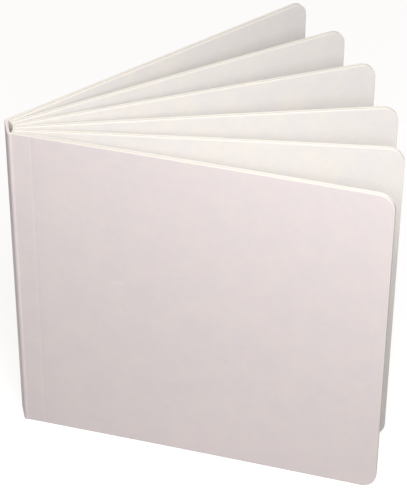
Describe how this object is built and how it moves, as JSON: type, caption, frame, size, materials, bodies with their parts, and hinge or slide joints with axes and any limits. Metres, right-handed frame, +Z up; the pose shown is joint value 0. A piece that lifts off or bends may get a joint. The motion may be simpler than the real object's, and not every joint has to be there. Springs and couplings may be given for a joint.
{
  "type": "board book",
  "caption": "Blank board book with stiff rounded leaves and a hollow back, standing fanned open; both covers turn at the spine.",
  "frame": {"origin": "on the ground, under the middle of the fanned book's bounding box", "axes": "+X from the spine to the fore edges, along the middle of the fan; +Y from the front cover to the back cover; +Z up"},
  "size_m": [0.2066, 0.1998, 0.197],
  "materials": {
    "cover_card": "matte",
    "page_card": "matte"
  },
  "bodies": {
    "book_block": {"leaves": "page_card", "spine": "cover_card"},
    "front_cover": {"front_cover": "cover_card"},
    "back_cover": {"back_cover": "cover_card"}
  },
  "joints": [
    {"name": "front_cover_hinge", "type": "hinge", "parent": "book_block", "child": "front_cover", "pos_m": [-0.10104, -0.00738, 0], "axis": [0, 0, -1], "range_deg": [-11, 152]},
    {"name": "back_cover_hinge", "type": "hinge", "parent": "book_block", "child": "back_cover", "pos_m": [-0.10119, 0.00738, 0], "axis": [0, 0, 1], "range_deg": [-8.9, 152]}
  ]
}
